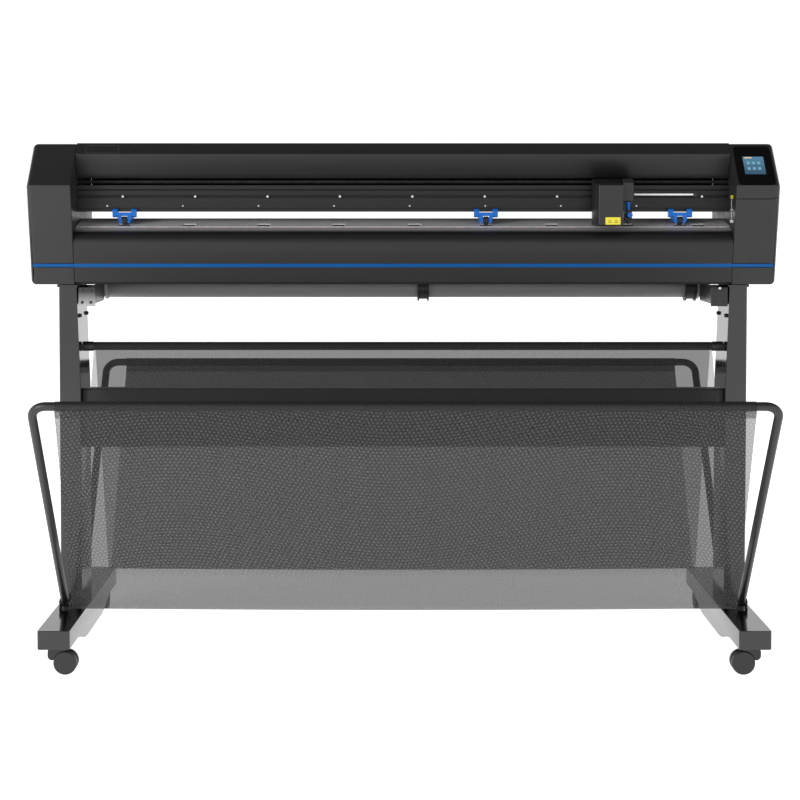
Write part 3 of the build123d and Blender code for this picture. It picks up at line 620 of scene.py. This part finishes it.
def screen_finish():
    """Lit display: blue fading downwards, a menu of plain tiles, one bar. Nothing on it can be read."""
    s = Shader("display_screen", Base_Color=(0.0, 0.0, 0.0, 1.0), Emission_Strength=1.0)
    low, high, left, right = 1.0536, 1.0936, 0.7513, 0.7973    # the lit picture
    share = s.spread(s.axis("Z"), 0.0, 1.0, low, high)
    sky = s.ramp(share, (0.0, (0.035, 0.095, 0.15)), (1.0, (0.10, 0.24, 0.36)))
    row, width = 0.0085, (right - left) / 4
    tiles = 0.0
    for j in range(2):
        for i in range(3):
            x, z = left + width * (i + 0.62), low + 0.006 + 1.45 * row * j
            tiles = s.math("ADD", s.inside_box(("X", x, x + width * 0.6), ("Z", z, z + row * 0.7)), tiles)
    bar = s.inside_box(("X", left + 0.004, left + 0.020), ("Z", high - 0.0085, high - 0.0055))
    lit = s.pick(tiles, sky, (0.17, 0.38, 0.52))
    lit = s.pick(bar, lit, (0.75, 0.55, 0.32))
    s.join(lit, s.bsdf.inputs["Emission Color"])
    s.roughness(s.spread(s.noise(60.0), 0.1, 0.16))
    s.bump(s.noise(700.0), 0.03, 0.00002)
    return s.mat


CHARCOAL = (0.008, 0.008, 0.0085)
# Rooms inside the hood as axis spans: below the flat top, then below the slope behind it. Faces in them get
# painted shade through a lower specular level.
HOOD_ROOMS = ((("Y", 0.0, 0.146), ("Z", 0.9, 1.1163)),
              (("Y", 0.146, 0.1935), ("Z", 0.9, 1.0785)))
FRONT_MESH = mesh_cloth("front_mesh", (0.0088, 0.0152), 0.48, 1.0)
REAR_MESH = mesh_cloth("rear_mesh", (0.0108, 0.0186), 0.20, 0.4)
housing = moulded("housing_plastic", CHARCOAL, (0.4, 0.5))
sheet_black = drawn("cover_coat", (0.0075, 0.0075, 0.008), (0.36, 0.46), lines=0.5,
                    Specular_IOR_Level=0.42)
LOOKS = {
    "left_end_cover right_end_cover control_panel_cover": housing,
    "rear_cover front_cover": sheet_black,
    "top_cover": drawn("hood_coat", CHARCOAL, (0.34, 0.44), lines=0.5, shaded_rooms=HOOD_ROOMS),
    "display_glass": moulded("display_glass", (0.0015, 0.0015, 0.002), (0.08, 0.12), depth=0.000005,
                             Specular_IOR_Level=0.12),
    "accent_stripe": moulded("accent_stripe", (0.0005, 0.075, 0.26), (0.3, 0.4), patch=0.08,
                             Specular_IOR_Level=0.15),
    "chassis": drawn("chassis_steel", (0.012, 0.012, 0.0125), (0.45, 0.6), Specular_IOR_Level=0.2),
    "side_plates": moulded("side_plate_paint", (0.02, 0.02, 0.021), (0.35, 0.5), grain=700.0),
    "platen": platen_finish(),
    "cutting_strip": rubber("cutting_strip", (0.78, 0.66, 0.66), (0.5, 0.6)),
    "carriage_rail": drawn("rail_anodised", (0.0035, 0.0035, 0.004), (0.36, 0.48), lines=0.8,
                           Specular_IOR_Level=0.36),
    "rail_screws": turned("screw_steel", (0.6, 0.6, 0.61)),
    "ribbon_cable": ribbon_finish(),
    "drive_drum": turned("drum_steel", (0.42, 0.42, 0.42), (0.4, 0.55)),
    "drive_motors": moulded("motor_black", (0.02, 0.02, 0.02), (0.35, 0.5)),
    "carriage_frame": moulded("carriage_frame", (0.011, 0.011, 0.0115), (0.36, 0.46)),
    "carriage_cover": moulded("carriage_plastic", (0.010, 0.010, 0.0105), (0.32, 0.42)),
    "tool_holder": moulded("tool_slide", (0.006, 0.006, 0.0065), (0.3, 0.42)),
    "clamp_knob": moulded("clamp_blue", (0.0008, 0.14, 0.56), (0.3, 0.42), patch=0.08,
                          Specular_IOR_Level=0.3),
    "knife": knife_finish(),
    "carriage_belt": rubber("belt_rubber", (0.0015, 0.0015, 0.0015)),
    "belt_drive_pulley belt_idler_pulley": turned("pulley_aluminium", (0.65, 0.65, 0.66)),
    "pinch_lift_lever": moulded("lift_black", (0.02, 0.02, 0.02), (0.35, 0.5)),
    "main_board": moulded("board_green", (0.01, 0.12, 0.05), (0.3, 0.4)),
    "power_supply": drawn("supply_steel", (0.5, 0.5, 0.5), (0.3, 0.45), metallic=1.0),
    "power_switch": moulded("switch_black", (0.01, 0.01, 0.01), (0.2, 0.3)),
    "legs feet": moulded("stand_paint", (0.0035, 0.0035, 0.004), (0.1, 0.15), grain=900.0,
                         depth=0.00002, IOR=1.62),
    "crossbeam": moulded("beam_paint", (0.012, 0.012, 0.0125), (0.4, 0.5), grain=900.0),
    "cloth_bar front_hoop rear_hoop": moulded("bar_black", (0.012, 0.012, 0.012), (0.3, 0.42), grain=900.0),
    "roller_brackets": bracket_finish(),
    "front_media_roller rear_media_roller": drawn("roller_aluminium", (0.23, 0.23, 0.233), (0.4, 0.5),
                                                  lines=0.6),
    "left_media_flange right_media_flange": moulded("flange_plastic", (0.014, 0.014, 0.014), (0.4, 0.5)),
}
pinch_blue = moulded("pinch_blue", (0.0008, 0.115, 0.46), (0.22, 0.32), patch=0.1, Specular_IOR_Level=0.3)
pinch_rubber = rubber("pinch_rubber", (0.012, 0.012, 0.012))
caster_black = moulded("caster_plastic", (0.010, 0.010, 0.0105), (0.32, 0.45))
caster_tread = moulded("caster_wheel", (0.011, 0.011, 0.0115), (0.4, 0.55))
for side in ("left", "middle", "right"):
    LOOKS[f"{side}_pinch_slider {side}_pinch_arm"] = pinch_blue
    LOOKS[f"{side}_pinch_wheel"] = pinch_rubber
for corner in ("front_left", "front_right", "rear_left", "rear_right"):
    LOOKS[f"{corner}_caster_hood"] = caster_black
    LOOKS[f"{corner}_caster_wheels"] = caster_tread
LOOKS["display_screen"] = screen_finish()


def soften(obj, width):
    """Rounded edges on a CAD part, by modifiers only."""
    normals = obj.data.attributes.get("custom_normal")
    if normals:
        obj.data.attributes.remove(normals)
    obj.data.shade_smooth()
    weld = obj.modifiers.new("weld", "WELD")
    weld.merge_threshold = 0.00002
    flat = obj.modifiers.new("flat", "DECIMATE")
    flat.decimate_type = "DISSOLVE"
    flat.angle_limit = math.radians(0.8)
    bevel = obj.modifiers.new("edges", "BEVEL")
    bevel.width = width
    bevel.segments = BEVEL_SEGMENTS
    bevel.limit_method = "ANGLE"
    bevel.angle_limit = SHARP
    bevel.harden_normals = True
    bevel.use_clamp_overlap = False


for names, look in LOOKS.items():
    for name in names.split():
        NODES[name].data.materials.clear()
        NODES[name].data.materials.append(look)
for width, names in ((0.002, "left_end_cover right_end_cover"),
                     (0.0012, "legs feet carriage_cover"),
                     (0.001, "crossbeam"),
                     (0.0009, "control_panel_cover carriage_frame"),
                     (0.0008, "top_cover"),
                     (0.0007, "front_cover left_pinch_slider middle_pinch_slider right_pinch_slider"),
                     (0.0005, "roller_brackets"),
                     (0.0004, "tool_holder")):
    for name in names.split():
        soften(NODES[name], width)

# ---- cloth --------------------------------------------------------------------------------------
BLEND_START, BLEND_END, BLEND_Z = 0.02, 0.50, 0.5    # where a cloth stops and starts to follow

for name, hoop, fold, mirror in (("front_cloth", "front_hoop", FRONT_FOLD, False),
                                 ("rear_cloth", "rear_hoop", REAR_FOLD, True)):
    cloth, length = build_cloth(f"{name}_sheet", fold, mirror)
    way = 1 if mirror else -1
    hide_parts(name)
    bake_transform(cloth, "frame", hoop, start=(0, way * BLEND_START, BLEND_Z), end=(0, way * BLEND_END, BLEND_Z))

# ---- small pieces -------------------------------------------------------------------------------
plain_black = moulded("fitting_black", (0.008, 0.008, 0.0085), (0.35, 0.5))
zinc = turned("zinc_screw", (0.7, 0.7, 0.72))
label_yellow = moulded("label_yellow", (0.72, 0.62, 0.03), (0.4, 0.5), grain=500.0, depth=0.00001)
label_grey = moulded("label_grey", (0.12, 0.11, 0.04), (0.4, 0.5), grain=500.0, depth=0.00001)
label_white = moulded("label_white", (0.8, 0.8, 0.8), (0.4, 0.5), grain=500.0, depth=0.00001)


def carriage_label():
    """Plain yellow label with grey bars on the front of the carriage cover."""
    (_, front, bottom), (right, _, _) = extent("carriage_cover")
    left, foot, width, height = right - 0.0395, bottom + 0.0012, 0.033, 0.016
    piece = bmesh.new()
    add_box(piece, (left, left + width), (front - 0.00025, front), (foot, foot + height))
    finished("carriage_label", piece, label_yellow, "carriage")
    bar_width, bar_height, inset = 0.009, 0.0015, 0.002
    ink = (front - 0.00035, front - 0.0002)
    piece = bmesh.new()
    for x in (left + 0.005, left + 0.019):
        low, high = foot + 0.0043, foot + 0.0083
        add_box(piece, (x, x + bar_width), ink, (low, low + bar_height))
        add_box(piece, (x + inset, x + bar_width - inset), ink, (high, high + bar_height))
    finished("carriage_label_bars", piece, label_grey, "carriage")


def mouth_scale():
    """Height scale stuck on the right side of the mouth, with a yellow mark above it."""
    wall = extent("right_end_cover")[0][0]
    sticker = (wall - 0.00045, wall - 0.0002)
    post, crossbar, base = (((-0.050, -0.046), (0.9470, 0.9950)),
                            ((-0.062, -0.034), (0.9700, 0.9725)),
                            ((-0.068, -0.030), (0.9430, 0.9490)))
    piece = bmesh.new()
    for y, z in (post, crossbar, base):
        add_box(piece, sticker, y, z)
    finished("mouth_scale", piece, label_white, "frame")
    piece = bmesh.new()
    add_box(piece, sticker, (-0.064, -0.036), (0.9960, 1.0040))
    finished("mouth_scale_mark", piece, label_yellow, "frame")


def leg_hole_plugs():
    """Rubber plugs in the accessory holes of the legs, tapering inwards."""
    outer, inner = 0.7235, 0.7175
    hole_y, hole_pitch, hole_z = 0.0235, 0.095, 0.7355
    piece = bmesh.new()
    for side in (-1, 1):
        for y in (hole_y - hole_pitch / 2, hole_y + hole_pitch / 2):
            add_rod(piece, (side * outer, y, hole_z), (side * inner, y, hole_z), 0.0046, 0.0038)
    finished("leg_hole_plugs", piece, plain_black, "frame", bevel=0.0006)


def bracket_screws():
    """Four screws in the front of each roller bracket."""
    front = extent("roller_brackets")[0][1]
    piece = bmesh.new()
    for side in (-1, 1):
        for z in (0.766, 0.793):
            for x in (0.694, 0.713):
                add_rod(piece, (side * x, front - 0.0015, z), (side * x, front + 0.0005, z), 0.0034)
    finished("bracket_screws", piece, plain_black, "frame", bevel=0.0004)


def cover_screws():
    """Bright screws: one on the right bracket, two rows in the back wall."""
    front, back, radius = extent("roller_brackets")[0][1], extent("rear_cover")[1][1], 0.003
    piece = bmesh.new()
    add_rod(piece, (0.7035, front - 0.002, 0.7975), (0.7035, front + 0.0003, 0.7975), radius)
    for side, end in ((-1, 0.72), (1, 0.69)):
        for x in (0.10, 0.30, 0.55, end):
            for z in (0.822, 0.915):
                add_rod(piece, (side * x, back - 0.0005, z), (side * x, back + 0.0018, z), radius)
    finished("cover_screws", piece, zinc, "frame", bevel=0.0005)


def rear_louvres():
    """Nine slats on the back wall."""
    back = extent("rear_cover")[1][1]
    bottom, pitch, height = 0.842, 0.0075, 0.0035
    piece = bmesh.new()
    for i in range(9):
        z = bottom + pitch * i
        add_box(piece, (-0.46, -0.27), (back - 0.0002, back + 0.0014), (z, z + height))
    finished("rear_louvres", piece, plain_black, "frame", bevel=0.0005)


def roller_ends(row):
    """Discs on both ends of a media roller."""
    (_, y0, z0), (end, y1, z1) = extent(f"{row}_media_roller")
    y, z = (y0 + y1) / 2, (z0 + z1) / 2
    outer, inner = end - 0.0057, end - 0.0130
    grey = moulded(f"{row}_roller_end", (0.45, 0.45, 0.45), (0.35, 0.45))
    piece = bmesh.new()
    for side in (-1, 1):
        add_rod(piece, (side * outer, y, z), (side * inner, y, z), 0.0272, 0.0262, sides=48)
    body = body_of(NODES[f"{row}_media_roller"])[0]
    finished(f"{row}_roller_ends", piece, grey, body, bevel=0.0008)


def hood_plate_rim():
    """Raised rim of a plain nameplate on the hood's slope."""
    about = Vector((0, extent("top_cover")[0][1], 1.095))
    slope = Matrix.Rotation(math.atan2(0.025, 0.024), 4, "X")
    left, right, low, high, rim = -0.706, -0.633, 0.003, 0.0274, 0.0006
    grey = moulded("plate_rim", (0.06, 0.06, 0.06), (0.3, 0.4))
    piece = bmesh.new()
    for x, y in (((left, right), (low, low + rim)), ((left, right), (high - rim, high)),
                 ((left, left + rim), (low, high)), ((right - rim, right), (low, high))):
        z = (about.z - 0.0002, about.z + 0.0004)
        add_box(piece, x, (about.y + y[0], about.y + y[1]), z, slope, about)
    finished("hood_plate_rim", piece, grey, "frame")


carriage_label()
mouth_scale()
leg_hole_plugs()
bracket_screws()
cover_screws()
rear_louvres()
roller_ends("front")
roller_ends("rear")
hood_plate_rim()

# ---- floor --------------------------------------------------------------------------------------
floor_mesh = bmesh.new()
bmesh.ops.create_grid(floor_mesh, x_segments=2, y_segments=2, size=60.0)
floor_data = bpy.data.meshes.new("floor")
floor_mesh.to_mesh(floor_data)
floor_mesh.free()
floor = bpy.data.objects.new("floor", floor_data)
bpy.context.scene.collection.objects.link(floor)
floor_look = Shader("floor", Roughness=0.9, Emission_Color=(1, 1, 1, 1), Emission_Strength=1.0)
floor_look.colour(floor_look.ramp(floor_look.noise(0.6), (0.3, 0.86), (0.7, 0.88)))
floor_data.materials.append(floor_look.mat)
